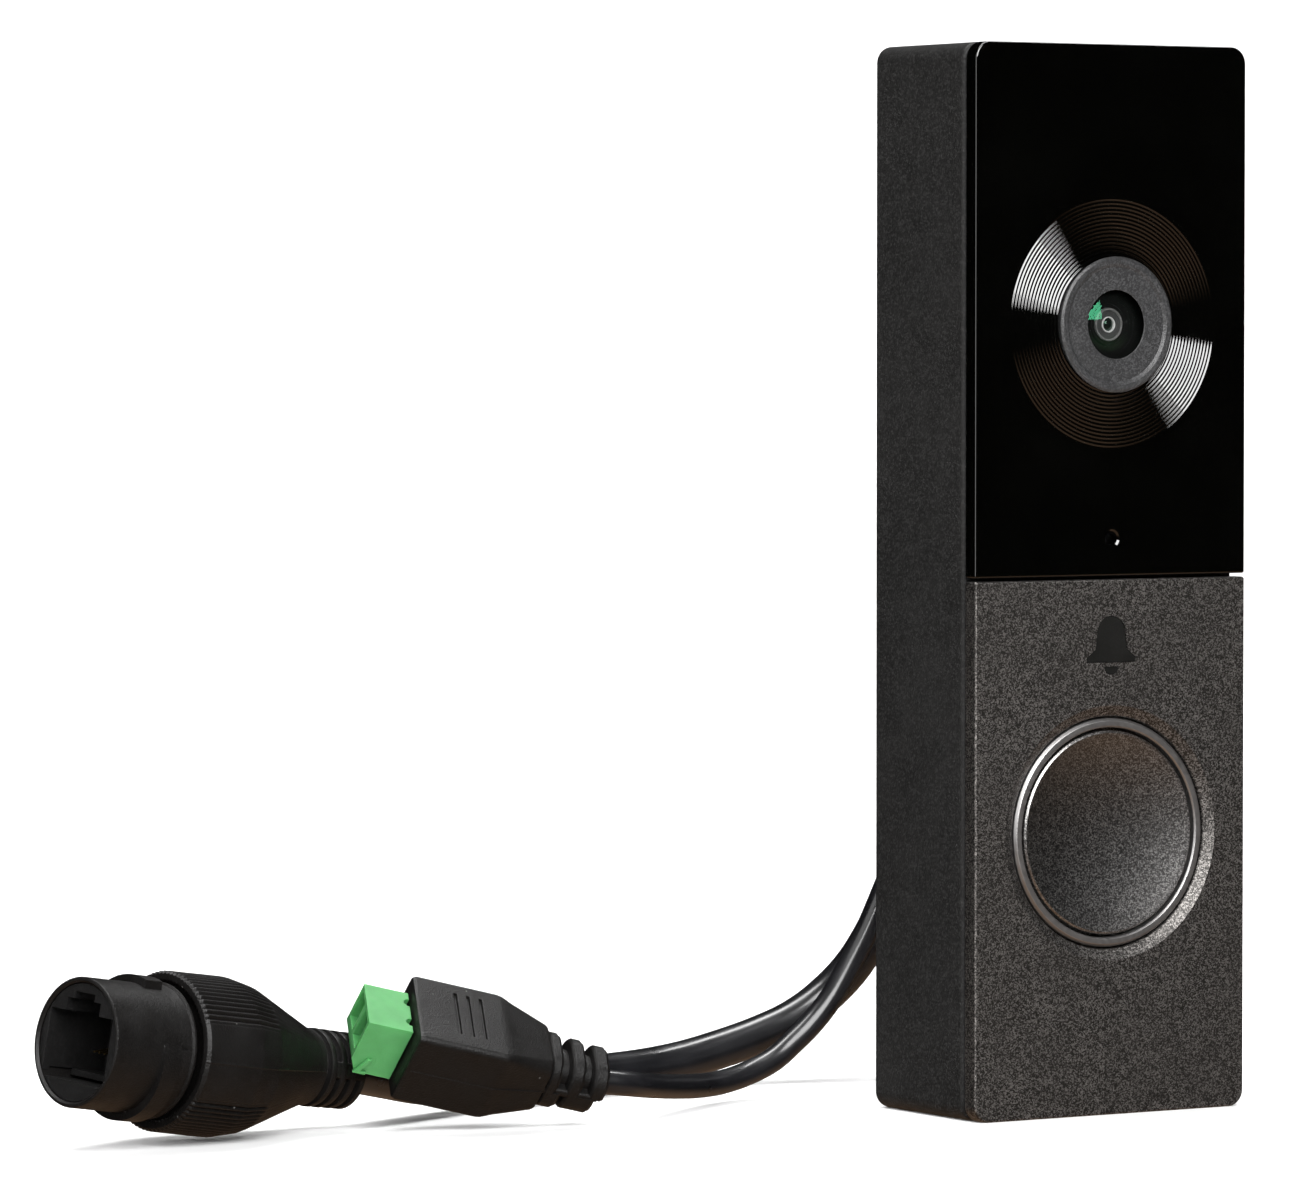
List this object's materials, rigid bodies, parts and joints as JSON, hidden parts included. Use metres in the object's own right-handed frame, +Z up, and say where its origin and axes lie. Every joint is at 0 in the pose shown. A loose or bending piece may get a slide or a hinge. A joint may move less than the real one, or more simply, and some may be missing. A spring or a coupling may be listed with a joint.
{
  "type": "video doorbell",
  "caption": "Slim wired video doorbell with a glass camera panel, a large round push button, a rear wall bracket, and short leads that end in an RJ45 coupler and a terminal connector.",
  "frame": {"origin": "on the bottom face of the doorbell's body, midway between its sides and 10.7 mm behind its front face, without the leads and their connectors", "axes": "+Z up along the body's height, the front with the camera and button faces -Y, +X to the right in front view"},
  "size_m": [0.1564, 0.0618, 0.137],
  "materials": {
    "housing": "fine matte moulded plastic",
    "black_plastic": "moulded black plastic",
    "rubber": "matte rubber",
    "panel_glass": "black glass, polished, with a grooved disc round the lens",
    "faceplate": "grained metallic coating",
    "bezel": "satin grey",
    "clear_glass": "clear coated window",
    "lens": "coated lens",
    "component": "black component body",
    "board": "green solder mask",
    "led": "clear resin",
    "steel": "plain steel",
    "satin_metal": "satin metal ring",
    "cap": "fine satin metallic coating",
    "white_plastic": "natural white plastic",
    "foam": "black foam",
    "cable": "semi-gloss black cable sheath",
    "moulding": "fine matte moulding with parting lines",
    "green_plastic": "light green moulded plastic"
  },
  "bodies": {
    "body": {"board_screw_1": "steel", "board_screw_2": "steel", "button_board": "board", "button_ring": "satin_metal", "button_screw_1": "steel", "button_screw_2": "steel", "cable_gland": "rubber", "camera_board": "board", "camera_screw_1": "steel", "camera_screw_2": "steel", "capacitor_1": "component", "capacitor_2": "component", "ethernet_cord": "cable", "ethernet_header": "white_plastic", "faceplate": "faceplate", "front_frame": "black_plastic", "front_glass": "panel_glass", "front_lens": "lens", "housing_gasket": "rubber", "housing_screw_1": "steel", "housing_screw_2": "steel", "housing_screw_3": "steel", "housing_screw_4": "steel", "image_sensor": "component", "ir_board": "board", "ir_led_1": "led", "ir_led_2": "led", "ir_led_3": "led", "ir_led_4": "led", "lens_barrel": "black_plastic", "lens_bezel": "bezel", "lens_holder": "black_plastic", "lens_window": "clear_glass", "main_board": "board", "mic_boot": "rubber", "microphone": "steel", "poe_transformer": "component", "power_header": "white_plastic", "rear_housing": "housing", "rear_lens": "lens", "ring_led_1": "led", "ring_led_2": "led", "ring_led_3": "led", "ring_led_4": "led", "rj45_jack": "black_plastic", "rj45_overmould": "moulding", "rj45_shell": "moulding", "security_screw": "steel", "shield_can": "steel", "speaker": "component", "speaker_gasket": "foam", "switch_body": "component", "terminal_block": "green_plastic", "terminal_cord": "cable", "terminal_overmould": "moulding", "thermal_pad": "foam", "wall_bracket": "steel"},
    "button": {"button_cap": "cap"},
    "plunger": {"switch_plunger": "white_plastic"}
  },
  "joints": [
    {"name": "button_press", "type": "slide", "parent": "body", "child": "button", "axis": [0, 1, 0], "range_m": [0, 0.0006], "stiffness_N_per_m": 3000},
    {"name": "plunger_press", "type": "slide", "parent": "body", "child": "plunger", "axis": [0, 1, 0], "range_m": [0, 0.0006]}
  ],
  "couplings": [
    {"joint": "plunger_press", "follows": "button_press", "ratio": 1}
  ]
}
